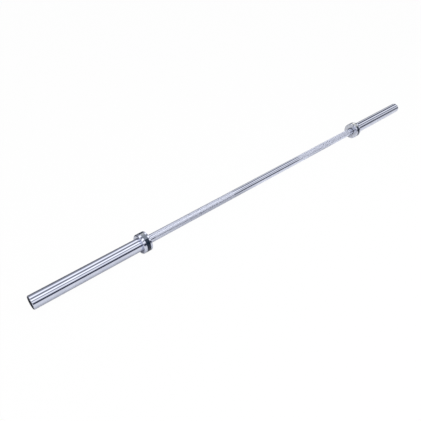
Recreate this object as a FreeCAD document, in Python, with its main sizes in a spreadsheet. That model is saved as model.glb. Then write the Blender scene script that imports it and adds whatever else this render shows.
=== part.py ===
# Olympic barbell: a knurled shaft with a free-spinning sleeve on bronze bushings at each end.
# The bar lies along X with its middle at the origin, +Z up, in millimetres.
import FreeCAD
import Part
import Sketcher

import os

doc = FreeCAD.newDocument("olympic_barbell")

# Driving dimensions: alias, value in millimetres (angles in degrees), what it is
SIZES = [
    ("overall_length", 2200, "end to end over the sleeves"),
    ("collar_spacing", 1310, "between the collars' inner faces"),
    ("grip_diameter", 32, "shaft where the hands hold it"),
    ("journal_step", 3, "radial, grip down to the journal in the bushings"),
    ("shoulder_recess", 5, "collar's inner face to the shaft's shoulder"),
    ("mark_outer_spacing", 910, "between the outer ring marks"),
    ("mark_inner_spacing", 810, "between the inner ring marks"),
    ("mark_width", 5, "ring mark along the bar"),
    ("mark_depth", 0.4, "ring mark below the grip"),
    ("shaft_chamfer", 1.5, "ends of the shaft"),
    ("sleeve_diameter", 50, "outside of the sleeve, for the plates"),
    ("sleeve_chamfer", 1.5, "outer end of the sleeve"),
    ("collar_step", 1, "radial, sleeve down to the collar's turned seat"),
    ("seat_wall", 3, "sleeve left round the counterbores at its ends"),
    ("collar_rise", 13, "radial, collar's rims above the sleeve"),
    ("collar_relief", 0.3, "radial, collar's outer face clear of the sleeve"),
    ("inner_rim_width", 8, "collar rim on the grip side"),
    ("band_width", 16, "groove for the band between the rims"),
    ("outer_rim_width", 12, "collar rim on the plate side"),
    ("band_thickness", 4, "band from the groove's floor to the rims"),
    ("band_chamfer", 0.6, "edges of the band"),
    ("rim_round", 2, "rounded edge of the collar's grip face"),
    ("face_round", 5, "rounded edge of the collar's plate face"),
    ("lip_width", 4, "collar lip over the inner end of the sleeve"),
    ("lip_gap", 2, "radial, collar lip round the grip"),
    ("bushing_wall", 4, "bushing between journal and sleeve"),
    ("bushing_length", 45, "bushing barrel behind its flange"),
    ("flange_thickness", 3, "bushing flange along the bar"),
    ("washer_width", 5.2, "radial, thrust washer across its ring"),
    ("washer_thickness", 2, "thrust washer along the bar"),
    ("clip_thickness", 1.2, "retaining ring along the bar"),
    ("clip_depth", 0.7, "groove for the retaining ring"),
    ("clip_width", 3, "retaining ring across its band"),
    ("clip_opening", 40, "open angle of the retaining ring"),
    ("lug_diameter", 4.6, "ears of the retaining ring"),
    ("lug_hole", 1.8, "plier holes in the ears"),
    ("end_land", 3, "shaft beyond the retaining ring's groove"),
    ("cap_length", 12, "end cap inside the sleeve"),
    ("cap_wall", 2.5, "end cap's face and skirt"),
    ("cap_overlap", 2, "end cap's rim over the counterbore"),
    ("cap_ring_width", 8, "flat ring round the end cap's shallow dish"),
    ("cap_dish_depth", 0.8, "depth of that dish"),
    ("cap_room", 3, "air between the shaft's end and the cap"),
    ("pin_diameter", 6, "spring pin that locks the collar"),
    ("pin_wall", 1.2, "spring pin's rolled wall"),
    ("pin_slit", 24, "open angle of the spring pin"),
    ("pin_floor", 1.4, "sleeve wall left under the spring pin"),
    ("pin_sink", 0.2, "spring pin's head below the groove's floor"),
    ("running_clearance", 0.05, "radial, journal in bushing"),
    ("press_clearance", 0.02, "radial, pieces pressed together"),
    ("washer_clearance", 0.3, "radial, washer on the journal"),
    ("end_play", 0.15, "along the bar, at each thrust face"),
]

sheet = doc.addObject("Spreadsheet::Sheet", "Sizes")
for row, (alias, number, meaning) in enumerate(SIZES, start=1):
    sheet.set("A%d" % row, alias)
    sheet.set("B%d" % row, str(number))
    sheet.set("C%d" % row, meaning)
    sheet.setAlias("B%d" % row, alias)
doc.recompute()


def cell(alias):
    """Expression for one cell of the sheet."""
    return "Sizes." + alias


def half(alias):
    """Expression for half of a cell: a radius, or a place either side of the middle."""
    return "Sizes.%s / 2" % alias


def add(*terms):
    """Expression for the sum of several expressions."""
    return " + ".join("(%s)" % term for term in terms)


def less(start, *terms):
    """Expression for one expression less the others."""
    return " - ".join("(%s)" % term for term in (start,) + terms)


# Places along the bar, from its middle outwards
collar_inner = half("collar_spacing")
sleeve_inner = add(collar_inner, cell("lip_width"))
band_inner = add(collar_inner, cell("inner_rim_width"))
band_outer = add(band_inner, cell("band_width"))
collar_outer = add(band_outer, cell("outer_rim_width"))
collar_relief_end = less(collar_outer, cell("collar_step"), cell("collar_relief"))
sleeve_outer = half("overall_length")
pin_place = add(band_inner, half("band_width"))

shoulder = add(collar_inner, cell("shoulder_recess"))
inner_washer_end = add(shoulder, cell("washer_thickness"))
inner_flange = add(inner_washer_end, cell("end_play"))
inner_seat = add(inner_flange, cell("flange_thickness"))

cap_inner = less(sleeve_outer, cell("cap_length"))
cap_ledge = less(sleeve_outer, cell("cap_wall"))
shaft_outer = less(cap_inner, cell("cap_room"))
clip_outer = less(shaft_outer, cell("end_land"))
clip_inner = less(clip_outer, cell("clip_thickness"))
outer_washer_end = less(clip_inner, cell("end_play"))
outer_washer = less(outer_washer_end, cell("washer_thickness"))
outer_flange_end = less(outer_washer, cell("end_play"))
outer_seat = less(outer_flange_end, cell("flange_thickness"))

# Radii, from the axis outwards
grip = half("grip_diameter")
journal = less(grip, cell("journal_step"))
clip_floor = less(journal, cell("clip_depth"))
clip_rim = add(clip_floor, cell("clip_width"))
bushing_bore = add(journal, cell("running_clearance"))
washer_bore = add(journal, cell("washer_clearance"))
washer_rim = add(washer_bore, cell("washer_width"))
bushing_rim = add(bushing_bore, cell("bushing_wall"))
sleeve_bore = add(bushing_rim, cell("press_clearance"))
sleeve_rim = half("sleeve_diameter")
collar_seat = less(sleeve_rim, cell("collar_step"))
seat = less(collar_seat, cell("seat_wall"))
seat_fit = less(seat, cell("press_clearance"))
cap_mouth = add(seat, cell("cap_overlap"))
cap_rim = less(cap_mouth, cell("press_clearance"))
cap_skirt = less(seat_fit, cell("cap_wall"))
cap_dish = less(cap_rim, cell("cap_ring_width"))
collar_bore = add(collar_seat, cell("press_clearance"))
collar_mouth = add(sleeve_rim, cell("collar_relief"))
lip_bore = add(grip, cell("lip_gap"))
collar_rim = add(sleeve_rim, cell("collar_rise"))
band_floor = less(collar_rim, cell("band_thickness"))
band_bore = add(band_floor, cell("press_clearance"))
pin_rim = half("pin_diameter")
pin_hole = add(pin_rim, cell("press_clearance"))
pin_bore = less(pin_rim, cell("pin_wall"))
pin_foot = add(sleeve_bore, cell("pin_floor"))
pin_head = less("sqrt((%s)^2 - (%s)^2)" % (band_floor, pin_rim), cell("pin_sink"))


def size(expression):
    """The number that an expression stands for."""
    return float(sheet.evalExpression(expression))


def new_body(node):
    """An empty body whose label is the name of its file."""
    body = doc.addObject("PartDesign::Body", node)
    body.Label = node
    return body


def origin_part(body, role):
    """A plane or axis of the body's own origin."""
    return next(feature for feature in body.Origin.OriginFeatures if feature.Role == role)


def new_sketch(body, name, plane, height=None):
    """A sketch on one of the body's origin planes, lifted off it by an expression."""
    sketch = body.newObject("Sketcher::SketchObject", name)
    sketch.AttachmentSupport = [(origin_part(body, plane), "")]
    sketch.MapMode = "FlatFace"
    if height:
        sketch.setExpression("AttachmentOffset.Base.z", height)
    return sketch


def pin_point(sketch, geometry, vertex, across, up):
    """Holds a sketch point at two expressions, or on an axis where one is None."""
    for kind, expression, axis in (("DistanceX", across, -2), ("DistanceY", up, -1)):
        if expression is None:
            sketch.addConstraint(Sketcher.Constraint("PointOnObject", geometry, vertex, axis))
            continue
        place = size(expression)
        index = sketch.addConstraint(Sketcher.Constraint(kind, -1, 1, geometry, vertex, place))
        sketch.setExpression("Constraints[%d]" % index, expression)


def draw_outline(sketch, corners):
    """A closed outline of straight lines through corners given as pairs of expressions."""
    points = [FreeCAD.Vector(*(size(part) if part else 0 for part in corner)) for corner in corners]
    first = sketch.GeometryCount
    count = len(points)
    for i in range(count):
        sketch.addGeometry(Part.LineSegment(points[i], points[(i + 1) % count]))
    for i in range(count):
        following = first + (i + 1) % count
        sketch.addConstraint(Sketcher.Constraint("Coincident", first + i, 2, following, 1))
    for i, (across, up) in enumerate(corners):
        pin_point(sketch, first + i, 1, across, up)


def draw_block(sketch, left, right, low, high):
    """A rectangle between two places and two radii."""
    draw_outline(sketch, [(left, low), (right, low), (right, high), (left, high)])


def draw_circle(sketch, across, up, radius):
    """A circle whose centre and radius are expressions."""
    centre = FreeCAD.Vector(size(across), size(up) if up else 0, 0)
    circle = Part.Circle(centre, FreeCAD.Vector(0, 0, 1), size(radius))
    geometry = sketch.addGeometry(circle)
    pin_point(sketch, geometry, 3, across, up)
    index = sketch.addConstraint(Sketcher.Constraint("Radius", geometry, size(radius)))
    sketch.setExpression("Constraints[%d]" % index, radius)


def turn(body, name, sketch, angle=None):
    """Revolves a sketch about the bar's axis, all the way or by an expression."""
    feature = body.newObject("PartDesign::Revolution", name)
    feature.Profile = sketch
    feature.ReferenceAxis = (sketch, ["H_Axis"])
    feature.Angle = 360
    if angle:
        feature.setExpression("Angle", angle)
    doc.recompute()
    return feature


def must_cut(feature, before):
    """Stops the build if a cut took nothing away."""
    doc.recompute()
    if feature.Shape.Volume >= before:
        raise RuntimeError(feature.Label + " cuts nothing")
    return feature


def turn_away(body, name, sketch):
    """Cuts a revolved sketch out of the body."""
    before = body.Shape.Volume
    feature = body.newObject("PartDesign::Groove", name)
    feature.Profile = sketch
    feature.ReferenceAxis = (sketch, ["H_Axis"])
    feature.Angle = 360
    return must_cut(feature, before)


def drill(body, name, sketch, depth):
    """Cuts a sketch out of the body, along the sketch's normal."""
    before = body.Shape.Volume
    feature = body.newObject("PartDesign::Pocket", name)
    feature.Profile = sketch
    feature.Reversed = True
    feature.Length = size(depth)
    feature.setExpression("Length", depth)
    return must_cut(feature, before)


def ring_edges(feature, places, radius):
    """Names of the round edges about the bar's axis at these places and this radius."""
    tolerance = 1e-4
    names = []
    for number, edge in enumerate(feature.Shape.Edges, start=1):
        round_edge = isinstance(edge.Curve, Part.Circle)
        if not round_edge or abs(edge.Curve.Radius - size(radius)) > tolerance:
            continue
        centre = edge.Curve.Center
        if any(abs(abs(centre.x) - size(place)) < tolerance for place in places):
            names.append("Edge%d" % number)
    return names


def ease_edges(body, kind, name, base, places, radius, amount):
    """Rounds or chamfers the round edges at these places by a cell of the sheet."""
    feature = body.newObject("PartDesign::" + kind, name)
    feature.Base = (base, ring_edges(base, places, radius))
    measure = "Radius" if kind == "Fillet" else "Size"
    setattr(feature, measure, size(amount))
    feature.setExpression(measure, amount)
    doc.recompute()
    return feature


def make_shaft():
    """One steel bar: grip, ring marks, shoulders, journals and grooves for the retaining rings."""
    body = new_body("shaft")
    outline = new_sketch(body, "shaft_outline", "XY_Plane")
    draw_outline(outline, [
        (None, None),
        (None, grip),
        (shoulder, grip),
        (shoulder, journal),
        (shaft_outer, journal),
        (shaft_outer, None),
    ])
    bar = turn(body, "shaft_half", outline)

    cuts = new_sketch(body, "shaft_cuts", "XY_Plane")
    mark_floor = less(grip, cell("mark_depth"))
    for spacing in ("mark_inner_spacing", "mark_outer_spacing"):
        left = less(half(spacing), half("mark_width"))
        draw_block(cuts, left, add(left, cell("mark_width")), mark_floor, grip)
    draw_block(cuts, clip_inner, clip_outer, clip_floor, journal)
    grooves = turn_away(body, "shaft_grooves", cuts)

    whole = body.newObject("PartDesign::Mirrored", "shaft_mirrored")
    whole.Originals = [bar, grooves]
    whole.MirrorPlane = (origin_part(body, "YZ_Plane"), [""])
    body.Tip = whole
    doc.recompute()
    ease_edges(body, "Chamfer", "shaft_ends", whole, [shaft_outer], journal, cell("shaft_chamfer"))
    return body


def make_sleeve_tube(node):
    """The plate sleeve: a thick tube, counterbored at both ends, with a blind hole for the pin."""
    body = new_body(node)
    outline = new_sketch(body, node + "_outline", "XY_Plane")
    draw_outline(outline, [
        (sleeve_inner, seat),
        (sleeve_inner, collar_seat),
        (collar_outer, collar_seat),
        (collar_outer, sleeve_rim),
        (sleeve_outer, sleeve_rim),
        (sleeve_outer, cap_mouth),
        (cap_ledge, cap_mouth),
        (cap_ledge, seat),
        (outer_seat, seat),
        (outer_seat, sleeve_bore),
        (inner_seat, sleeve_bore),
        (inner_seat, seat),
    ])
    tube = turn(body, node + "_tube", outline)
    mouth = ease_edges(body, "Chamfer", node + "_mouth", tube, [sleeve_outer], sleeve_rim,
                       cell("sleeve_chamfer"))
    body.Tip = mouth
    hole = new_sketch(body, node + "_hole", "XY_Plane", pin_foot)
    draw_circle(hole, pin_place, None, pin_hole)
    drill(body, node + "_pin_hole", hole, sleeve_rim)
    return body


def make_collar(node):
    """The flange that stops the plates: two rims, the band's groove, a lip over the sleeve's end,
    a bevelled relief where the sleeve comes out, and the pin's hole."""
    body = new_body(node)
    outline = new_sketch(body, node + "_outline", "XY_Plane")
    draw_outline(outline, [
        (collar_inner, lip_bore),
        (collar_inner, collar_rim),
        (band_inner, collar_rim),
        (band_inner, band_floor),
        (band_outer, band_floor),
        (band_outer, collar_rim),
        (collar_outer, collar_rim),
        (collar_outer, collar_mouth),
        (collar_relief_end, collar_bore),
        (sleeve_inner, collar_bore),
        (sleeve_inner, lip_bore),
    ])
    flange = turn(body, node + "_flange", outline)
    grip_face = ease_edges(body, "Fillet", node + "_grip_face", flange, [collar_inner],
                           collar_rim, cell("rim_round"))
    plate_face = ease_edges(body, "Fillet", node + "_plate_face", grip_face, [collar_outer],
                            collar_rim, cell("face_round"))
    lands = ease_edges(body, "Chamfer", node + "_lands", plate_face, [band_inner, band_outer],
                       collar_rim, cell("band_chamfer"))
    body.Tip = lands
    hole = new_sketch(body, node + "_hole", "XY_Plane", pin_foot)
    draw_circle(hole, pin_place, None, pin_hole)
    drill(body, node + "_pin_hole", hole, collar_rim)
    return body


def make_collar_band(node):
    """The dark ring pressed into the collar's groove, flush with its rims."""
    body = new_body(node)
    outline = new_sketch(body, node + "_outline", "XY_Plane")
    left = add(band_inner, cell("press_clearance"))
    right = less(band_outer, cell("press_clearance"))
    draw_block(outline, left, right, band_bore, collar_rim)
    ring = turn(body, node + "_ring", outline)
    ease_edges(body, "Chamfer", node + "_edges", ring, [left, right], collar_rim,
               cell("band_chamfer"))
    return body


def make_collar_pin(node):
    """The spring pin: a rolled, slit tube driven through the collar into the sleeve."""
    body = new_body(node)
    outline = new_sketch(body, node + "_outline", "XZ_Plane")
    left = add(pin_place, pin_bore)
    right = add(pin_place, pin_rim)
    draw_block(outline, left, right, pin_foot, pin_head)
    foot = FreeCAD.Vector(size(pin_place), size(pin_foot), 0)
    head = FreeCAD.Vector(size(pin_place), size(pin_head), 0)
    axis = outline.addGeometry(Part.LineSegment(foot, head), True)
    pin_point(outline, axis, 1, pin_place, pin_foot)
    pin_point(outline, axis, 2, pin_place, pin_head)
    feature = body.newObject("PartDesign::Revolution", node + "_roll")
    feature.Profile = outline
    feature.ReferenceAxis = (outline, ["Axis0"])
    feature.setExpression("Angle", less("360", cell("pin_slit")))
    doc.recompute()
    return body


def make_bushing(node, flange, flange_end, barrel_end):
    """A flanged bronze bush; the barrel runs from the flange into the sleeve."""
    body = new_body(node)
    outline = new_sketch(body, node + "_outline", "XY_Plane")
    draw_outline(outline, [
        (flange, bushing_bore),
        (flange, seat_fit),
        (flange_end, seat_fit),
        (flange_end, bushing_rim),
        (barrel_end, bushing_rim),
        (barrel_end, bushing_bore),
    ])
    turn(body, node + "_bush", outline)
    return body


def make_inner_bushing(node):
    """The bush at the collar end."""
    barrel_end = add(inner_seat, cell("bushing_length"))
    return make_bushing(node, inner_flange, inner_seat, barrel_end)


def make_outer_bushing(node):
    """The bush at the capped end."""
    barrel_end = less(outer_seat, cell("bushing_length"))
    return make_bushing(node, outer_flange_end, outer_seat, barrel_end)


def make_washer(node, left, right):
    """A flat thrust washer on the journal."""
    body = new_body(node)
    outline = new_sketch(body, node + "_outline", "XY_Plane")
    draw_block(outline, left, right, washer_bore, washer_rim)
    turn(body, node + "_disc", outline)
    return body


def make_inner_washer(node):
    """The washer against the shaft's shoulder."""
    return make_washer(node, shoulder, inner_washer_end)


def make_outer_washer(node):
    """The washer behind the retaining ring."""
    return make_washer(node, outer_washer, outer_washer_end)


def make_retaining_ring(node):
    """The open spring ring in the shaft's groove, with two drilled ears."""
    body = new_body(node)
    outline = new_sketch(body, node + "_outline", "XY_Plane")
    draw_block(outline, clip_inner, clip_outer, clip_floor, clip_rim)
    sweep = less("360", cell("clip_opening"))
    turn(body, node + "_spring", outline, sweep)

    # The first ear stands just inside the ring's open end; the pattern sets the other one.
    ear_reach = clip_rim
    ear_angle = "asin(%s / (%s))" % (half("lug_diameter"), ear_reach)
    across = "(%s) * cos(%s)" % (ear_reach, ear_angle)
    up = half("lug_diameter")
    ear_sketch = new_sketch(body, node + "_ear_outline", "YZ_Plane", clip_inner)
    draw_circle(ear_sketch, across, up, half("lug_diameter"))
    ear = body.newObject("PartDesign::Pad", node + "_ear")
    ear.Profile = ear_sketch
    ear.setExpression("Length", cell("clip_thickness"))
    doc.recompute()
    hole_sketch = new_sketch(body, node + "_hole_outline", "YZ_Plane", clip_inner)
    draw_circle(hole_sketch, across, up, half("lug_hole"))
    hole = drill(body, node + "_plier_hole", hole_sketch, cell("clip_thickness"))
    pair = body.newObject("PartDesign::PolarPattern", node + "_ears")
    pair.Originals = [ear, hole]
    pair.Axis = (origin_part(body, "X_Axis"), [""])
    pair.Occurrences = 2
    pair.setExpression("Angle", "(%s) * 1 deg - 2 * %s" % (sweep, ear_angle))
    body.Tip = pair
    doc.recompute()
    return body


def make_end_cap(node):
    """The plug that closes the sleeve: a rimmed, dished face on a hollow skirt."""
    body = new_body(node)
    dish_floor = less(sleeve_outer, cell("cap_dish_depth"))
    outline = new_sketch(body, node + "_outline", "XY_Plane")
    draw_outline(outline, [
        (cap_ledge, None),
        (dish_floor, None),
        (dish_floor, cap_dish),
        (sleeve_outer, cap_dish),
        (sleeve_outer, cap_rim),
        (cap_ledge, cap_rim),
        (cap_ledge, seat_fit),
        (cap_inner, seat_fit),
        (cap_inner, cap_skirt),
        (cap_ledge, cap_skirt),
    ])
    turn(body, node + "_plug", outline)
    return body


# Every piece of one end is made about +X; the left end is the right one turned half round
END_PIECES = {
    "sleeve_tube": make_sleeve_tube,
    "collar": make_collar,
    "collar_band": make_collar_band,
    "collar_pin": make_collar_pin,
    "inner_bushing": make_inner_bushing,
    "outer_bushing": make_outer_bushing,
    "inner_thrust_washer": make_inner_washer,
    "outer_thrust_washer": make_outer_washer,
    "retaining_ring": make_retaining_ring,
    "end_cap": make_end_cap,
}
HALF_TURN = {"right": 0, "left": 180}

pieces = [make_shaft()]
for side, degrees in HALF_TURN.items():
    for piece, make in END_PIECES.items():
        body = make(side + "_" + piece)
        body.Placement = FreeCAD.Placement(
            FreeCAD.Vector(0, 0, 0), FreeCAD.Rotation(FreeCAD.Vector(0, 0, 1), degrees))
        pieces.append(body)
doc.recompute()

for thing in doc.Objects:
    if "Invalid" in thing.State or "Error" in thing.State:
        raise RuntimeError(thing.Label + " did not build")
for piece in pieces:
    if piece.Shape.isNull() or not piece.Shape.isValid():
        raise RuntimeError(piece.Label + " has no valid shape")
    if len(piece.Shape.Solids) != 1:
        raise RuntimeError(piece.Label + " is not one solid")

os.makedirs("parts", exist_ok=True)
for piece in pieces:
    piece.Shape.exportStep("parts/%s.step" % piece.Label)
    box = piece.Shape.BoundBox
    print("%-28s x %8.2f to %8.2f, diameter %6.2f, volume %10.1f" % (
        piece.Label, box.XMin, box.XMax, box.YLength, piece.Shape.Volume))
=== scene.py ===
"""Looks of the olympic barbell: knurled chrome shaft, chrome sleeves with banded collars, black caps."""
import math

import bmesh
import bpy
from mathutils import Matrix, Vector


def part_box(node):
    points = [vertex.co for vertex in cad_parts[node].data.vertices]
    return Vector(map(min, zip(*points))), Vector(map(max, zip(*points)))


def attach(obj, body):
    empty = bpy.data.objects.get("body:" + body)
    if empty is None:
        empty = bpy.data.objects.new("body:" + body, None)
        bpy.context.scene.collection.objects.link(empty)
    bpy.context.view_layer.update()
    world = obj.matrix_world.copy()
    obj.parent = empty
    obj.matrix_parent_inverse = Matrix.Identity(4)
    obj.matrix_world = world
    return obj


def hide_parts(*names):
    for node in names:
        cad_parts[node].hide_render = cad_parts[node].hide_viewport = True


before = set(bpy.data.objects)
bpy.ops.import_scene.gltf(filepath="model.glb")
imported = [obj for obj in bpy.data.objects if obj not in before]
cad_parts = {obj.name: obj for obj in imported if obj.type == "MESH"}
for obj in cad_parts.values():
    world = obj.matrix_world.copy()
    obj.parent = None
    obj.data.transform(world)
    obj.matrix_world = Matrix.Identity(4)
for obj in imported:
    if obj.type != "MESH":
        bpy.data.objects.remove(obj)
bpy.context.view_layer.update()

MM = 0.001
FULL_TURN = 2 * math.pi
# Points closer than this, in metres, are merged
TIGHT = 1e-6
# Places and radii closer than this, in millimetres, are the same
SAME = 0.001


def span(node):
    """Where a CAD node starts and ends along the bar, and its radius, in millimetres."""
    low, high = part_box(node)
    return low.x / MM, high.x / MM, high.z / MM


# Sizes in millimetres, of the right-hand end; the left-hand end is the same turned half round
collar_in, collar_out, collar_rim = span("right_collar")
sleeve_in, sleeve_end, sleeve_rim = span("right_sleeve_tube")
band_in, band_out, band_rim = span("right_collar_band")
bush_in, bush_out, seat_fit = span("right_inner_bushing")
far_bush_in, far_bush_out, _ = span("right_outer_bushing")
washer_in, washer_out, washer_rim = span("right_inner_thrust_washer")
far_washer_in, far_washer_out, _ = span("right_outer_thrust_washer")
clip_in, clip_out, _ = span("right_retaining_ring")
cap_in, cap_out, cap_rim = span("right_end_cap")
_, shaft_end, grip = span("shaft")

# Pressed pieces stand this far apart
PRESS = 0.02
band_depth = 4.0
groove_in, groove_out = band_in - PRESS, band_out + PRESS
groove_floor = collar_rim - band_depth
collar_seat = 24.0
collar_relief = 1.3
collar_grip_round = 2.0
collar_plate_round = 5.0
seat = seat_fit + PRESS
lip_gap = 2.0
lip_bore = grip + lip_gap
sleeve_bore = 17.07
bush_rim = 17.05
bush_bore = 13.05
flange = 3.0
inner_seat = bush_in + flange
outer_seat = far_bush_out - flange
washer_bore = 13.3
cap_wall = 2.5
cap_ledge = sleeve_end - cap_wall
cap_mouth = cap_rim + PRESS
cap_skirt = 18.48
cap_dish = 14.98
cap_dish_depth = 0.8
sleeve_chamfer = 1.5
journal = 13.0
clip_floor = 12.3
shoulder = washer_in
shoulder_edge = 0.4
shaft_chamfer = 1.5

# The grip's diamond knurl, drawn coarser than a real one so that its diamonds show, and shallower so that
# the grip still looks satin. It runs out over a short slope at both ends.
KNURL_FROM, KNURL_TO = 220.0, 630.0
KNURL_STEP = 2.5
KNURL_DEPTH = 0.05
KNURL_ROUND = 128
KNURL_RUN_OUT = 0.8
# A point this near to a ring of the shaft is on it, and this near to a crest's or valley's radius is one
ON_RING = 0.01
ON_RADIUS = 0.02

# The two ring marks on each side: smooth grooves with upright walls. Points further than the margin from
# a mark's edges are on its floor.
RING_MARKS = (405.0, 455.0)
RING_MARK_WIDTH = 5.0
RING_MARK_DEPTH = 0.4
RING_MARK_WALL = 0.1
RING_MARK_MARGIN = 0.5

# Facets round a turned piece, and steps in its small edge rounds and in the collar's big ones
ROUND_PARTS = 160
SMALL_ROUND = 1.0
SMALL_STEPS, BIG_STEPS = 3, 7
# Edges that bend more than this many degrees stay sharp
SHARP_TURNED, SHARP_SHAFT = 28, 24
# A face whose normal lies this squarely along the bar is flat across it
SQUARE_ON = 0.98


def colour(code):
    """Linear colour of an sRGB hex code."""
    channels = [int(code[i:i + 2], 16) / 255 for i in (1, 3, 5)]
    linear = [c / 12.92 if c <= 0.04045 else ((c + 0.055) / 1.055) ** 2.4 for c in channels]
    return (*linear, 1.0)


def add_node(tree, kind, inputs=None, **options):
    """Adds a node, sets its options, and gives each input a number, a colour or another node's output.
    A node that is given whole stands for the first of its outputs in use."""
    new = tree.nodes.new(kind)
    for name, value in options.items():
        setattr(new, name, value)
    for socket, value in (inputs or {}).items():
        if isinstance(value, bpy.types.Node):
            value = next(output for output in value.outputs if output.enabled)
        if isinstance(value, bpy.types.NodeSocket):
            tree.links.new(value, new.inputs[socket])
        else:
            new.inputs[socket].default_value = value
    return new


def new_finish(name):
    """An empty node material, its nodes, and the place on the piece."""
    finish = bpy.data.materials.new(name)
    finish.use_nodes = True
    tree = finish.node_tree
    tree.nodes.clear()
    place = add_node(tree, "ShaderNodeTexCoord").outputs["Object"]
    return finish, tree, place


def radius_of(tree, place):
    """The distance from the bar's axis, in metres."""
    flat = add_node(tree, "ShaderNodeVectorMath", {0: place, 1: (0, 1, 1)}, operation="MULTIPLY")
    return add_node(tree, "ShaderNodeVectorMath", {0: flat}, operation="LENGTH")


def per_mm(size):
    """Texture scale that repeats about every so many millimetres."""
    return 1 / (size * MM)


# Most of a noise texture lies between these values, which are stretched to the range that is needed
MIDDLE = {"From Min": 0.3, "From Max": 0.7}


def make_polished_chrome():
    """Hard chrome plate on ground and buffed steel: a cool mirror, with hair lines round the bar."""
    finish, tree, place = new_finish("polished_chrome_plate")
    along = add_node(tree, "ShaderNodeSeparateXYZ", {0: place}).outputs["X"]
    # Buffing lines are a few hundredths apart; they are drawn every 3 mm so that some of them show
    lines = add_node(tree, "ShaderNodeTexNoise", {"W": along, "Scale": per_mm(3), "Detail": 3.0},
                     noise_dimensions="1D")
    # Hands and plates leave a haze in patches of about 45 mm
    haze = add_node(tree, "ShaderNodeTexNoise", {"Vector": place, "Scale": per_mm(45), "Detail": 4.0})
    patches = add_node(tree, "ShaderNodeMapRange", {"Value": haze, **MIDDLE})
    tint = add_node(tree, "ShaderNodeMix", {
        "Factor": patches, "A": colour("#D3D7E6"), "B": colour("#C8CCDC")}, data_type="RGBA")
    haze_rough = add_node(tree, "ShaderNodeMapRange", {
        "Value": haze, **MIDDLE, "To Min": 0.03, "To Max": 0.055})
    line_rough = add_node(tree, "ShaderNodeMapRange", {
        "Value": lines, **MIDDLE, "To Min": 0.0, "To Max": 0.015})
    rough = add_node(tree, "ShaderNodeMath", {0: haze_rough, 1: line_rough}, operation="ADD")
    relief = add_node(tree, "ShaderNodeBump", {"Height": lines, "Strength": 0.02, "Distance": 0.02 * MM})
    shader = add_node(tree, "ShaderNodeBsdfPrincipled", {
        "Base Color": tint, "Metallic": 1.0, "Roughness": rough, "Normal": relief})
    add_node(tree, "ShaderNodeOutputMaterial", {"Surface": shader})
    return finish


def make_knurled_chrome():
    """Chrome over a rolled diamond knurl: worn crests, with painted shade darkening the valleys, which are
    duller too.
    """
    finish, tree, place = new_finish("knurled_chrome_plate")
    crest = add_node(tree, "ShaderNodeMapRange", {
        "Value": radius_of(tree, place), "From Min": (grip - KNURL_DEPTH) * MM, "From Max": grip * MM})
    # Hands polish the crests in patches of about 30 mm
    wear = add_node(tree, "ShaderNodeTexNoise", {"Vector": place, "Scale": per_mm(30), "Detail": 4.0})
    worn = add_node(tree, "ShaderNodeMapRange", {"Value": wear, **MIDDLE, "To Min": 0.8, "To Max": 1.1})
    height = add_node(tree, "ShaderNodeMath", {0: crest, 1: worn}, operation="MULTIPLY")
    # Painted shade: the valleys are drawn darker than the crests, and the wear patches change how bright the
    # crests are
    tint = add_node(tree, "ShaderNodeMix", {
        "Factor": height, "A": colour("#D6DAEA"), "B": colour("#E6EAF8")}, data_type="RGBA")
    rough = add_node(tree, "ShaderNodeMapRange", {"Value": height, "To Min": 0.42, "To Max": 0.34})
    shader = add_node(tree, "ShaderNodeBsdfPrincipled", {
        "Base Color": tint, "Metallic": 1.0, "Roughness": rough})
    add_node(tree, "ShaderNodeOutputMaterial", {"Surface": shader})
    return finish


def make_turned_chrome():
    """Chrome over a lathe-turned face: satin, with fine rings round the middle."""
    finish, tree, place = new_finish("turned_chrome_plate")
    # The tool's feed is a tenth or two of a millimetre; the rings are drawn every 0.8 mm
    rings = add_node(tree, "ShaderNodeTexNoise", {
        "W": radius_of(tree, place), "Scale": per_mm(0.8), "Detail": 2.0}, noise_dimensions="1D")
    haze = add_node(tree, "ShaderNodeTexNoise", {"Vector": place, "Scale": per_mm(18), "Detail": 4.0})
    ridges = add_node(tree, "ShaderNodeMapRange", {"Value": rings, **MIDDLE})
    tint = add_node(tree, "ShaderNodeMix", {
        "Factor": ridges, "A": colour("#C6C9D2"), "B": colour("#D4D7E0")}, data_type="RGBA")
    rough = add_node(tree, "ShaderNodeMapRange", {"Value": haze, **MIDDLE, "To Min": 0.16, "To Max": 0.24})
    relief = add_node(tree, "ShaderNodeBump", {"Height": rings, "Strength": 0.1, "Distance": 0.03 * MM})
    shader = add_node(tree, "ShaderNodeBsdfPrincipled", {
        "Base Color": tint, "Metallic": 1.0, "Roughness": rough, "Normal": relief})
    add_node(tree, "ShaderNodeOutputMaterial", {"Surface": shader})
    return finish


def make_band_rubber():
    """Hard black rubber, turned and polished: blue-black and glossy, with a faint bloom and grain."""
    finish, tree, place = new_finish("polished_black_rubber")
    # The filler's grain is far under a tenth of a millimetre; it is drawn at 0.7 mm
    grain = add_node(tree, "ShaderNodeTexNoise", {"Vector": place, "Scale": per_mm(0.7), "Detail": 3.0})
    bloom = add_node(tree, "ShaderNodeTexNoise", {"Vector": place, "Scale": per_mm(14), "Detail": 4.0})
    patches = add_node(tree, "ShaderNodeMapRange", {"Value": bloom, **MIDDLE})
    tint = add_node(tree, "ShaderNodeMix", {
        "Factor": patches, "A": colour("#070D16"), "B": colour("#0C1520")}, data_type="RGBA")
    rough = add_node(tree, "ShaderNodeMapRange", {"Value": bloom, **MIDDLE, "To Min": 0.08, "To Max": 0.14})
    relief = add_node(tree, "ShaderNodeBump", {"Height": grain, "Strength": 0.1, "Distance": 0.04 * MM})
    shader = add_node(tree, "ShaderNodeBsdfPrincipled", {
        "Base Color": tint, "Roughness": rough, "IOR": 1.45, "Specular Tint": colour("#D2DEFF"),
        "Normal": relief})
    add_node(tree, "ShaderNodeOutputMaterial", {"Surface": shader})
    return finish


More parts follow.
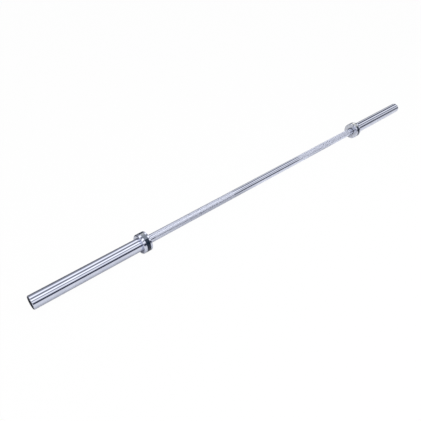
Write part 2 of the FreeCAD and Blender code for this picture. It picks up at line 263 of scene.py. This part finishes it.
def make_cap_plastic():
    """Moulded black polyethylene: matt, with an even spark-eroded grain and a few pale scuffs."""
    finish, tree, place = new_finish("moulded_black_polyethylene")
    # Spark-eroded grain is a tenth or two of a millimetre across; it is drawn at 0.9 mm
    grain = add_node(tree, "ShaderNodeTexVoronoi", {"Vector": place, "Scale": per_mm(0.9)})
    scuffs = add_node(tree, "ShaderNodeTexNoise", {
        "Vector": place, "Scale": per_mm(6), "Detail": 6.0, "Roughness": 0.7})
    scuffed = add_node(tree, "ShaderNodeMapRange", {"Value": scuffs, "From Min": 0.55, "From Max": 0.8})
    tint = add_node(tree, "ShaderNodeMix", {
        "Factor": scuffed, "A": colour("#101A27"), "B": colour("#1C2734")}, data_type="RGBA")
    rough = add_node(tree, "ShaderNodeMapRange", {"Value": scuffs, **MIDDLE, "To Min": 0.7, "To Max": 0.85})
    relief = add_node(tree, "ShaderNodeBump", {"Height": grain, "Strength": 0.35, "Distance": 0.05 * MM})
    shader = add_node(tree, "ShaderNodeBsdfPrincipled", {
        "Base Color": tint, "Roughness": rough, "IOR": 1.3, "Normal": relief})
    add_node(tree, "ShaderNodeOutputMaterial", {"Surface": shader})
    return finish


def make_bronze():
    """Sintered bronze soaked in oil: brown gold, dull, with dark pores."""
    finish, tree, place = new_finish("sintered_bronze")
    # Pores are a few hundredths across; they are drawn at 0.6 mm
    pores = add_node(tree, "ShaderNodeTexNoise", {"Vector": place, "Scale": per_mm(0.6), "Detail": 3.0})
    oil = add_node(tree, "ShaderNodeTexNoise", {"Vector": place, "Scale": per_mm(9), "Detail": 3.0})
    metal = add_node(tree, "ShaderNodeMapRange", {"Value": pores, "From Min": 0.35, "From Max": 0.55})
    tint = add_node(tree, "ShaderNodeMix", {
        "Factor": metal, "A": colour("#5A4830"), "B": colour("#A78A5F")}, data_type="RGBA")
    rough = add_node(tree, "ShaderNodeMapRange", {"Value": oil, **MIDDLE, "To Min": 0.3, "To Max": 0.5})
    relief = add_node(tree, "ShaderNodeBump", {"Height": pores, "Strength": 0.3, "Distance": 0.05 * MM})
    shader = add_node(tree, "ShaderNodeBsdfPrincipled", {
        "Base Color": tint, "Metallic": 1.0, "Roughness": rough, "Normal": relief})
    add_node(tree, "ShaderNodeOutputMaterial", {"Surface": shader})
    return finish


def make_washer_steel():
    """Ground hardened steel: light grey, with straight grinding lines across the washer."""
    finish, tree, place = new_finish("ground_steel")
    stretched = add_node(tree, "ShaderNodeMapping", {"Vector": place, "Scale": (1, 1, 0.05)})
    # Grinding lines are a few hundredths apart; they are drawn every 0.6 mm
    lines = add_node(tree, "ShaderNodeTexNoise", {
        "Vector": stretched, "Scale": per_mm(0.6), "Detail": 3.0})
    scratches = add_node(tree, "ShaderNodeMapRange", {"Value": lines, **MIDDLE})
    tint = add_node(tree, "ShaderNodeMix", {
        "Factor": scratches, "A": colour("#94979C"), "B": colour("#B8BBC0")}, data_type="RGBA")
    rough = add_node(tree, "ShaderNodeMapRange", {"Value": lines, **MIDDLE, "To Min": 0.25, "To Max": 0.38})
    relief = add_node(tree, "ShaderNodeBump", {"Height": lines, "Strength": 0.2, "Distance": 0.02 * MM})
    shader = add_node(tree, "ShaderNodeBsdfPrincipled", {
        "Base Color": tint, "Metallic": 1.0, "Roughness": rough, "Normal": relief})
    add_node(tree, "ShaderNodeOutputMaterial", {"Surface": shader})
    return finish


def make_spring_steel():
    """Blackened spring steel: blue-black with brown patches and an oily shine."""
    finish, tree, place = new_finish("blackened_spring_steel")
    patches = add_node(tree, "ShaderNodeTexNoise", {"Vector": place, "Scale": per_mm(4), "Detail": 4.0})
    browned = add_node(tree, "ShaderNodeMapRange", {"Value": patches, **MIDDLE})
    tint = add_node(tree, "ShaderNodeMix", {
        "Factor": browned, "A": colour("#34363C"), "B": colour("#4A4541")}, data_type="RGBA")
    rough = add_node(tree, "ShaderNodeMapRange", {"Value": patches, **MIDDLE, "To Min": 0.3, "To Max": 0.45})
    shader = add_node(tree, "ShaderNodeBsdfPrincipled", {
        "Base Color": tint, "Metallic": 1.0, "Roughness": rough})
    add_node(tree, "ShaderNodeOutputMaterial", {"Surface": shader})
    return finish


polished_chrome = make_polished_chrome()
knurled_chrome = make_knurled_chrome()
turned_chrome = make_turned_chrome()
band_rubber = make_band_rubber()
cap_plastic = make_cap_plastic()
bronze = make_bronze()
washer_steel = make_washer_steel()
spring_steel = make_spring_steel()


def start_edit(name):
    """Names the piece at hand and opens it in edit mode, to pick points."""
    piece = bpy.context.object
    piece.name = piece.data.name = name
    bpy.ops.object.mode_set(mode="EDIT")
    bpy.ops.mesh.select_mode(type="VERT")
    return piece


def pick(test):
    """Selects the points of the piece in edit mode whose place along the bar and radius pass a test."""
    bpy.ops.mesh.select_all(action="DESELECT")
    mesh = bmesh.from_edit_mesh(bpy.context.object.data)
    for point in mesh.verts:
        if test(point.co.x / MM, math.hypot(point.co.y, point.co.z) / MM):
            point.select_set(True)
    mesh.select_flush(True)
    bmesh.update_edit_mesh(bpy.context.object.data)


def pick_corners(corners):
    """Selects the points that lie at corners of an outline."""
    pick(lambda x, r: any(abs(x - at) < SAME and abs(r - radius) < SAME for at, radius, _ in corners))


def close_mesh():
    """Merges the seam and turns all faces outwards."""
    bpy.ops.mesh.select_all(action="SELECT")
    bpy.ops.mesh.remove_doubles(threshold=TIGHT)
    bpy.ops.mesh.normals_make_consistent(inside=False)
    bpy.ops.object.mode_set(mode="OBJECT")


def finish_shading(sharp_angle):
    """Smooth shading that keeps the edges crisp and the flats flat."""
    bpy.ops.object.shade_smooth_by_angle(angle=math.radians(sharp_angle))
    bpy.ops.object.modifier_add(type="WEIGHTED_NORMAL")
    bpy.context.object.modifiers[-1].keep_sharp = True
    bpy.ops.object.modifier_apply(modifier=bpy.context.object.modifiers[-1].name)


def turned(name, outline, closed=True):
    """Draws an outline of places, radii and corner rounds in millimetres, and spins it round the bar."""
    bpy.ops.object.select_all(action="DESELECT")
    bpy.ops.mesh.primitive_plane_add(size=MM)
    start_edit(name)
    bpy.ops.mesh.select_all(action="SELECT")
    bpy.ops.mesh.merge(type="CENTER")
    bpy.ops.transform.translate(value=(outline[0][0] * MM, 0, outline[0][1] * MM))
    for (x, r, _), (next_x, next_r, _) in zip(outline, outline[1:]):
        bpy.ops.mesh.extrude_vertices_move(TRANSFORM_OT_translate={
            "value": ((next_x - x) * MM, 0, (next_r - r) * MM)})
    if closed:
        pick_corners((outline[0], outline[-1]))
        bpy.ops.mesh.edge_face_add()
    for rounding in sorted({corner[2] for corner in outline if corner[2]}):
        pick_corners([corner for corner in outline if corner[2] == rounding])
        steps = SMALL_STEPS if rounding < SMALL_ROUND else BIG_STEPS
        bpy.ops.mesh.bevel(affect="VERTICES", offset_type="OFFSET", offset=rounding * MM, segments=steps)
    bpy.ops.mesh.select_all(action="SELECT")
    bpy.ops.mesh.spin(steps=ROUND_PARTS, angle=FULL_TURN, center=(0, 0, 0), axis=(1, 0, 0))
    close_mesh()
    finish_shading(SHARP_TURNED)
    return bpy.context.object


def other_end(piece, name):
    """A copy of a right-hand piece with its own mesh, turned half round to the left-hand end."""
    bpy.ops.object.select_all(action="DESELECT")
    piece.select_set(True)
    bpy.context.view_layer.objects.active = piece
    bpy.ops.object.duplicate(linked=False)
    copy = start_edit(name)
    bpy.ops.mesh.select_all(action="SELECT")
    bpy.ops.transform.rotate(value=math.pi, orient_axis="Z", center_override=(0, 0, 0))
    bpy.ops.object.mode_set(mode="OBJECT")
    return copy


def coat(piece, *finishes):
    """Gives a piece its finishes, the first one all over."""
    piece.data.materials.clear()
    for finish in finishes:
        piece.data.materials.append(finish)
    for face in piece.data.polygons:
        face.material_index = 0


# Outlines of the turned pieces at the right-hand end: places along the bar, radii and corner rounds
sleeve_outline = [
    (sleeve_in, seat, 0.3), (sleeve_in, collar_seat, 0.3), (collar_out, collar_seat, 0),
    (collar_out, sleeve_rim, 0), (sleeve_end - sleeve_chamfer, sleeve_rim, 0.5),
    (sleeve_end, sleeve_rim - sleeve_chamfer, 0.2), (sleeve_end, cap_mouth, 0.1),
    (cap_ledge, cap_mouth, 0), (cap_ledge, seat, 0.2), (outer_seat, seat, 0),
    (outer_seat, sleeve_bore, 0.2), (inner_seat, sleeve_bore, 0.2), (inner_seat, seat, 0)]
collar_outline = [
    (collar_in, lip_bore, 0.4), (collar_in, collar_rim, collar_grip_round), (groove_in, collar_rim, 0.5),
    (groove_in, groove_floor, 0), (groove_out, groove_floor, 0), (groove_out, collar_rim, 0.5),
    (collar_out, collar_rim, collar_plate_round), (collar_out, collar_seat + collar_relief, 0.2),
    (collar_out - collar_relief, collar_seat + PRESS, 0), (sleeve_in, collar_seat + PRESS, 0),
    (sleeve_in, lip_bore, 0.4)]
band_outline = [
    (band_in, groove_floor + PRESS, 0), (band_in, band_rim, 0.6), (band_out, band_rim, 0.6),
    (band_out, groove_floor + PRESS, 0)]
cap_outline = [
    (cap_ledge, 0, 0), (cap_ledge, cap_skirt, 0.6), (cap_in, cap_skirt, 0.3), (cap_in, seat_fit, 0.8),
    (cap_ledge, seat_fit, 0), (cap_ledge, cap_rim, 0.2), (cap_out, cap_rim, 0.7),
    (cap_out, cap_dish, 0.4), (cap_out - cap_dish_depth, cap_dish, 0.3),
    (cap_out - cap_dish_depth, 0, 0)]
inner_bush_outline = [
    (bush_in, bush_bore, 0.3), (bush_in, seat_fit, 0.4), (inner_seat, seat_fit, 0),
    (inner_seat, bush_rim, 0.2), (bush_out, bush_rim, 0.5), (bush_out, bush_bore, 0.3)]
outer_bush_outline = [
    (far_bush_out, bush_bore, 0.3), (far_bush_out, seat_fit, 0.4), (outer_seat, seat_fit, 0),
    (outer_seat, bush_rim, 0.2), (far_bush_in, bush_rim, 0.5), (far_bush_in, bush_bore, 0.3)]
inner_washer_outline = [
    (washer_in, washer_bore, 0.2), (washer_in, washer_rim, 0.2), (washer_out, washer_rim, 0.2),
    (washer_out, washer_bore, 0.2)]
outer_washer_outline = [
    (far_washer_in, washer_bore, 0.2), (far_washer_in, washer_rim, 0.2),
    (far_washer_out, washer_rim, 0.2), (far_washer_out, washer_bore, 0.2)]

# Each turned piece: its outline and whether that is closed, its finish, its slot and what it rides on
TURNED = {
    "sleeve_tube": (sleeve_outline, True, polished_chrome, "sleeve_chrome", "sleeve"),
    "collar": (collar_outline, True, polished_chrome, "collar_chrome", "sleeve"),
    "collar_band": (band_outline, True, band_rubber, "black_band", "sleeve"),
    "end_cap": (cap_outline, False, cap_plastic, "black_cap", "sleeve"),
    "inner_bushing": (inner_bush_outline, True, bronze, "bronze", "sleeve"),
    "outer_bushing": (outer_bush_outline, True, bronze, "bronze", "sleeve"),
    "inner_thrust_washer": (inner_washer_outline, True, washer_steel, "washer_steel", "shaft"),
    "outer_thrust_washer": (outer_washer_outline, True, washer_steel, "washer_steel", "shaft"),
}


def turn_grip_face(collar):
    """Leaves the right-hand collar's face towards the grip as the lathe cut it, under the chrome."""
    collar.data.materials.append(turned_chrome)
    for face in collar.data.polygons:
        if face.normal.x < -SQUARE_ON:
            face.material_index = 1


for name, (outline, closed, finish, slot, carrier) in TURNED.items():
    right = turned("right_%s_turned" % name, outline, closed)
    coat(right, finish)
    if name == "collar":
        turn_grip_face(right)
    left = other_end(right, "left_%s_turned" % name)
    for side, piece in (("right", right), ("left", left)):
        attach(piece, "shaft" if carrier == "shaft" else side + "_sleeve")
        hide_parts("%s_%s" % (side, name))


def make_shaft():
    """The bar: half of it is drawn out ring by ring from one row of knurl, then mirrored."""
    bpy.ops.object.select_all(action="DESELECT")
    bpy.ops.mesh.primitive_circle_add(vertices=KNURL_ROUND, radius=grip * MM)
    shaft = start_edit("shaft_knurled")
    bpy.ops.mesh.select_all(action="SELECT")
    bpy.ops.transform.rotate(value=math.pi / 2, orient_axis="Y", center_override=(0, 0, 0))
    bpy.ops.transform.translate(value=(KNURL_FROM * MM, 0, 0))
    half_step = KNURL_STEP / 2
    for _ in range(2):
        bpy.ops.mesh.extrude_region_move(TRANSFORM_OT_translate={"value": (half_step * MM, 0, 0)})

    # Every other point is pressed in, chequerwise, and the squares are split from valley to valley
    bpy.ops.mesh.select_all(action="DESELECT")
    mesh = bmesh.from_edit_mesh(shaft.data)
    for point in mesh.verts:
        row = round((point.co.x / MM - KNURL_FROM) / half_step)
        column = round(math.atan2(point.co.z, point.co.y) / FULL_TURN * KNURL_ROUND)
        point.select_set((row + column) % 2 == 1)
    mesh.select_flush(True)
    bmesh.update_edit_mesh(shaft.data)
    pressed = (grip - KNURL_DEPTH) / grip
    bpy.ops.transform.resize(value=(1, pressed, pressed), center_override=(0, 0, 0))
    bpy.ops.mesh.select_all(action="SELECT")
    bpy.ops.mesh.quads_convert_to_tris(quad_method="SHORTEST_DIAGONAL")
    bpy.ops.object.mode_set(mode="OBJECT")

    bpy.ops.object.modifier_add(type="ARRAY")
    rows = shaft.modifiers[-1]
    rows.count = round((KNURL_TO - KNURL_FROM) / KNURL_STEP)
    rows.use_relative_offset = False
    rows.use_constant_offset = True
    rows.constant_offset_displace = (KNURL_STEP * MM, 0, 0)
    rows.use_merge_vertices = True
    rows.merge_threshold = TIGHT
    bpy.ops.object.modifier_apply(modifier=rows.name)
    bpy.ops.object.mode_set(mode="EDIT")

    def level(radius, from_x, to_x):
        """Brings the crests and the valleys between two places to one radius."""
        for old in (grip, grip - KNURL_DEPTH):
            if abs(old - radius) > SAME:
                pick(lambda x, r: from_x < x < to_x and abs(r - old) < ON_RADIUS)
                bpy.ops.transform.resize(value=(1, radius / old, radius / old), center_override=(0, 0, 0))

    # The ring marks' floors are levelled, and the rings at their edges are drawn up to upright walls
    for mark in RING_MARKS:
        low, high = mark - RING_MARK_WIDTH / 2, mark + RING_MARK_WIDTH / 2
        level(grip - RING_MARK_DEPTH, low + RING_MARK_MARGIN, high - RING_MARK_MARGIN)
        for edge, inward in ((low, 1), (high, -1)):
            pick(lambda x, r: abs(x - edge - inward * half_step) < ON_RING)
            bpy.ops.transform.translate(value=(inward * (RING_MARK_WALL - half_step) * MM, 0, 0))

    def draw_out(from_x, rings):
        """Extrudes the open end of the bar through a row of places and radii."""
        pick(lambda x, r: abs(x - from_x) < ON_RING)
        last_x = from_x
        last_r = None
        for x, r in rings:
            bpy.ops.mesh.extrude_region_move(TRANSFORM_OT_translate={"value": ((x - last_x) * MM, 0, 0)})
            if last_r is None:
                level(r, x - ON_RING, x + ON_RING)
                pick(lambda at, radius: abs(at - x) < ON_RING)
            elif r != last_r:
                bpy.ops.transform.resize(value=(1, r / last_r, r / last_r), center_override=(0, 0, 0))
            last_x, last_r = x, r

    draw_out(KNURL_FROM, [(KNURL_FROM - KNURL_RUN_OUT, grip), (0, grip)])
    draw_out(KNURL_TO, [
        (KNURL_TO + KNURL_RUN_OUT, grip), (shoulder - shoulder_edge, grip), (shoulder, grip - shoulder_edge),
        (shoulder, journal), (clip_in, journal), (clip_in, clip_floor), (clip_out, clip_floor),
        (clip_out, journal), (shaft_end - shaft_chamfer, journal), (shaft_end, journal - shaft_chamfer)])
    bpy.ops.mesh.edge_face_add()
    bpy.ops.object.mode_set(mode="OBJECT")

    bpy.ops.object.modifier_add(type="MIRROR")
    shaft.modifiers[-1].merge_threshold = TIGHT
    bpy.ops.object.modifier_apply(modifier=shaft.modifiers[-1].name)
    bpy.ops.object.mode_set(mode="EDIT")
    close_mesh()
    finish_shading(SHARP_SHAFT)
    return shaft


def coat_shaft(shaft):
    """Polished chrome, ring marks too, and duller where the grip is knurled."""
    coat(shaft, polished_chrome, knurled_chrome)
    half_mark = RING_MARK_WIDTH / 2
    for face in shaft.data.polygons:
        x = abs(face.center.x) / MM
        marked = any(abs(x - mark) < half_mark for mark in RING_MARKS)
        if KNURL_FROM < x < KNURL_TO and not marked:
            face.material_index = 1


shaft = make_shaft()
coat_shaft(shaft)
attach(shaft, "shaft")
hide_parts("shaft")

# The hidden spring pins and retaining rings keep their CAD shapes
for side in ("left", "right"):
    for name in ("collar_pin", "retaining_ring"):
        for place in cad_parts["%s_%s" % (side, name)].material_slots:
            place.material = spring_steel

WHITE = colour("#FFFFFF")
# The little light that is left in the dark places of the studio is blue
COOL_GAPS = (0.0, 0.004, 0.024)


def read_off(tree, value, stops, along, places, brightest):
    """Brightness at a value, off a list of values, with the list's column that holds at each place along."""
    first, last = stops[0][0], stops[-1][0]
    share = add_node(tree, "ShaderNodeMapRange", {"Value": value, "From Min": first, "From Max": last})
    columns = []
    for column in range(len(stops[0][1])):
        ramp = add_node(tree, "ShaderNodeValToRGB", {"Fac": share})
        marks = ramp.color_ramp.elements
        while len(marks) < len(stops):
            marks.new(0.5)
        for mark, (at, strengths) in zip(marks, stops):
            mark.position = (at - first) / (last - first)
            grey = strengths[column] / brightest
            mark.color = (*(grey + (1 - grey) * cool for cool in COOL_GAPS), 1)
        columns.append(ramp)
    brightness = columns[places[0][1]]
    for (from_place, _), (to_place, column) in zip(places, places[1:]):
        way = add_node(tree, "ShaderNodeMapRange", {
            "Value": along, "From Min": from_place, "From Max": to_place})
        brightness = add_node(tree, "ShaderNodeMix", {
            "Factor": way, "A": brightness, "B": columns[column]}, data_type="RGBA")
    return brightness


# The floor in the chrome, as painted shade: place across the bar in millimetres, from the front to the back,
# and its brightness beside the near sleeve, the near grip, the middle and far sleeve, and the far grip. It
# is painted darker just under the bar, where its shadow falls, most of all along the near grip, and fading
# far in front and behind.
PAINTED_FLOOR_SHADE = [
    (-1200, (0.50, 0.50, 0.24, 0.90)), (-600, (0.80, 0.54, 0.36, 0.95)), (-190, (1.00, 0.60, 0.84, 1.00)),
    (-70, (0.98, 0.60, 1.08, 0.85)), (-15, (0.58, 0.60, 1.04, 0.60)), (20, (0.50, 0.60, 0.90, 0.50)),
    (75, (0.92, 0.60, 0.95, 0.95)), (100, (0.74, 0.50, 0.80, 0.95)), (140, (0.22, 0.30, 0.20, 0.80)),
    (600, (0.08, 0.16, 0.10, 0.60))]
# Places along the bar in metres, and the column that holds there
FLOOR_PLACES = ((-0.70, 0), (-0.38, 1), (-0.16, 1), (-0.02, 2), (0.25, 2), (0.36, 3), (0.48, 3), (0.56, 2))
FLOOR_SIZE = 60
PAPER = colour("#F9F9F9")
# To the eye the paper is plain white for this share; the rest of it shows the bar's shadow
PLAIN_WHITE = 0.97


def make_floor():
    """A wide sweep: white to the eye with the bar's soft shadow; in the chrome it shows painted shade under,
    behind and far from the bar.
    """
    bpy.ops.object.select_all(action="DESELECT")
    bpy.ops.mesh.primitive_plane_add(size=FLOOR_SIZE, location=(0, 0, -collar_rim * MM))
    floor = bpy.context.object
    floor.name = "white_sweep"
    paper, tree, place = new_finish("white_paper")
    rays = add_node(tree, "ShaderNodeLightPath").outputs
    parts = add_node(tree, "ShaderNodeSeparateXYZ", {0: place}).outputs
    across_mm = add_node(tree, "ShaderNodeMath", {0: parts["Y"], 1: 1 / MM}, operation="MULTIPLY")
    matt = add_node(tree, "ShaderNodeBsdfDiffuse", {"Color": PAPER})
    white = add_node(tree, "ShaderNodeEmission", {"Color": WHITE, "Strength": 1.0})
    # In the chrome the floor keeps its own shadow and adds the painted shade of the list on top
    mirrored = add_node(tree, "ShaderNodeBsdfDiffuse", {
        "Color": read_off(tree, across_mm, PAINTED_FLOOR_SHADE, parts["X"], FLOOR_PLACES, 1.0)})
    clear = add_node(tree, "ShaderNodeMath", {0: rays["Is Camera Ray"], 1: rays["Is Transmission Ray"]},
                     operation="MAXIMUM")
    to_eye = add_node(tree, "ShaderNodeMath", {0: clear, 1: PLAIN_WHITE}, operation="MULTIPLY")
    lit = add_node(tree, "ShaderNodeMixShader", {0: to_eye, 1: matt, 2: white})
    both = add_node(tree, "ShaderNodeMixShader", {0: rays["Is Glossy Ray"], 1: lit, 2: mirrored})
    add_node(tree, "ShaderNodeOutputMaterial", {"Surface": both})
    floor.data.materials.append(paper)


# The studio in the chrome: angle up from the back horizon in degrees, over the top and down to the front,
# and its brightness towards the near end, on the near grip, towards the far end and on the far grip. Long
# soft boxes are the bright stretches, with grey gaps between them; on the grips they run together.
BOXES = [
    (-30, (0.06, 0.52, 0.08, 0.70)), (-2, (0.18, 0.54, 0.10, 0.90)), (40, (0.44, 0.58, 0.54, 1.50)),
    (53, (1.48, 0.66, 0.88, 1.60)), (66, (1.55, 0.74, 1.00, 1.60)), (80, (0.26, 0.76, 0.07, 1.10)),
    (93, (0.24, 1.00, 0.06, 0.70)), (104, (1.66, 1.60, 1.45, 0.50)), (115, (1.66, 1.70, 1.38, 0.40)),
    (124, (0.32, 1.60, 0.08, 0.20)), (130, (0.30, 1.25, 0.12, 0.30)), (137, (1.30, 0.95, 1.12, 0.60)),
    (147, (1.22, 0.70, 1.04, 1.10)), (163, (0.02, 0.42, 0.08, 1.60)), (174, (0.02, 0.40, 0.06, 1.70)),
    (190, (0.80, 0.50, 0.40, 1.70))]
BRIGHTEST_BOX = 1.7
# Shares of a direction that lie along the bar, towards its far end, and the column that holds there
BOX_PLACES = (
    (0.40, 0), (0.50, 1), (0.57, 1), (0.61, 2), (0.71, 2), (0.73, 3), (0.785, 3), (0.80, 2), (0.86, 2),
    (0.90, 3))
# The far ends of the boxes are dimmer: where that starts, where it is full, and what is left there
DIM_FROM, DIM_TO, DIM = 0.795, 0.803, 0.87
# The boxes hang askew to the bar: the angle that stays put, the place where the list holds, and how they
# spread and lean from there towards the far end
STILL_ANGLE = 168
TRUE_AT = 0.24
SPREAD, SPREAD_FAR = 0.38, 0.42
LEAN, LEAN_FAR = -90, 176
# The strength of the light on matt surfaces, which is the same from all sides
EVEN_LIGHT = 0.55


def make_studio():
    """White to the eye, even light for matt surfaces, and rows of soft boxes in the chrome."""
    world = bpy.data.worlds.new("studio")
    bpy.context.scene.world = world
    world.use_nodes = True
    tree = world.node_tree
    tree.nodes.clear()
    direction = add_node(tree, "ShaderNodeTexCoord").outputs["Generated"]
    parts = add_node(tree, "ShaderNodeSeparateXYZ", {0: direction}).outputs

    # Angles run from -90 round by the back, the top and the front to 270, with the seam straight down
    up = add_node(tree, "ShaderNodeMath", {0: parts["Z"], 1: parts["Y"]}, operation="ARCTAN2")
    turn = add_node(tree, "ShaderNodeMath", {0: up, 1: math.radians(270), 2: math.radians(-90)},
                    operation="WRAP")
    from_still = add_node(tree, "ShaderNodeMath", {0: turn, 1: math.degrees(1), 2: -STILL_ANGLE},
                          operation="MULTIPLY_ADD")

    # The lean is taken off the angle and the spread is undone, to find the angle in the list
    past = add_node(tree, "ShaderNodeMath", {0: parts["X"], 1: TRUE_AT}, operation="SUBTRACT")
    along = add_node(tree, "ShaderNodeMath", {0: past, 1: 0.0}, operation="MAXIMUM")
    squared = add_node(tree, "ShaderNodeMath", {0: along, 1: along}, operation="MULTIPLY")
    lean_rate = add_node(tree, "ShaderNodeMath", {0: along, 1: LEAN_FAR, 2: LEAN}, operation="MULTIPLY_ADD")
    lean = add_node(tree, "ShaderNodeMath", {0: squared, 1: lean_rate}, operation="MULTIPLY")
    spread_rate = add_node(tree, "ShaderNodeMath", {0: along, 1: SPREAD_FAR, 2: SPREAD},
                           operation="MULTIPLY_ADD")
    spread = add_node(tree, "ShaderNodeMath", {0: along, 1: spread_rate, 2: 1.0}, operation="MULTIPLY_ADD")
    upright = add_node(tree, "ShaderNodeMath", {0: from_still, 1: lean}, operation="SUBTRACT")
    gathered = add_node(tree, "ShaderNodeMath", {0: upright, 1: spread}, operation="DIVIDE")
    angle = add_node(tree, "ShaderNodeMath", {0: gathered, 1: STILL_ANGLE}, operation="ADD")

    rays = add_node(tree, "ShaderNodeLightPath").outputs
    even = add_node(tree, "ShaderNodeBackground", {"Color": WHITE, "Strength": EVEN_LIGHT})
    strength = add_node(tree, "ShaderNodeMapRange", {
        "Value": parts["X"], "From Min": DIM_FROM, "From Max": DIM_TO,
        "To Min": BRIGHTEST_BOX, "To Max": DIM * BRIGHTEST_BOX})
    boxes = add_node(tree, "ShaderNodeBackground", {
        "Color": read_off(tree, angle, BOXES, parts["X"], BOX_PLACES, BRIGHTEST_BOX), "Strength": strength})
    white = add_node(tree, "ShaderNodeBackground", {"Color": WHITE, "Strength": 1.0})
    for_chrome = add_node(tree, "ShaderNodeMixShader", {0: rays["Is Glossy Ray"], 1: even, 2: boxes})
    clear = add_node(tree, "ShaderNodeMath", {0: rays["Is Camera Ray"], 1: rays["Is Transmission Ray"]},
                     operation="MAXIMUM")
    for_eye = add_node(tree, "ShaderNodeMixShader", {0: clear, 1: for_chrome, 2: white})
    add_node(tree, "ShaderNodeOutputWorld", {"Surface": for_eye})


def hang_lamp(name, place, width, depth, energy):
    """A soft rectangular lamp that looks straight down."""
    bpy.ops.object.light_add(type="AREA", location=place)
    lamp = bpy.context.object
    lamp.name = name
    lamp.data.shape = "RECTANGLE"
    lamp.data.size, lamp.data.size_y = width, depth
    lamp.data.energy = energy
    return lamp


def make_lamp():
    """One big soft lamp in front, for the shadow; the chrome shows the studio's own boxes instead."""
    lamp = hang_lamp("front_soft_box", place=(-0.4, -1.9, 2.4), width=3.0, depth=2.0, energy=62)
    tilt = math.radians(38)
    lamp.rotation_euler = (tilt, 0, 0)
    lamp.visible_glossy = False


def make_panel():
    """The soft boxes overhead are far brighter than white. Chrome can't show that but black gloss does, so
    a panel of about their strength lights the collars' black bands alone. It is warm, because their gloss
    is tinted cool."""
    panel = hang_lamp("overhead_panel", place=(0, 0.8, 1.0), width=8.8, depth=2.7, energy=520)
    panel.data.color = (1.0, 0.95, 0.8)
    bands = bpy.data.collections.new("bands")
    for side in ("left", "right"):
        bands.objects.link(bpy.data.objects[side + "_collar_band_turned"])
    panel.light_linking.receiver_collection = bands


# The camera's place in metres, and how many degrees down, and round from the bar's own line, it looks
CAMERA_PLACE = (-1.3005, -1.0609, 1.0538)
CAMERA_DOWN = 36.914
CAMERA_ROUND = 47.872
CAMERA_SENSOR = 36
CAMERA_LENS = 37.473


def make_camera():
    """Beyond the left-hand end and above it, as the photograph was taken."""
    bpy.ops.object.camera_add(location=CAMERA_PLACE)
    camera = bpy.context.object
    camera.rotation_euler = (math.radians(90 - CAMERA_DOWN), 0, math.radians(CAMERA_ROUND - 90))
    camera.data.sensor_width = CAMERA_SENSOR
    camera.data.lens = CAMERA_LENS
    bpy.context.scene.camera = camera


make_floor()
make_studio()
make_lamp()
make_panel()
make_camera()
bpy.context.scene.view_settings.view_transform = "Standard"
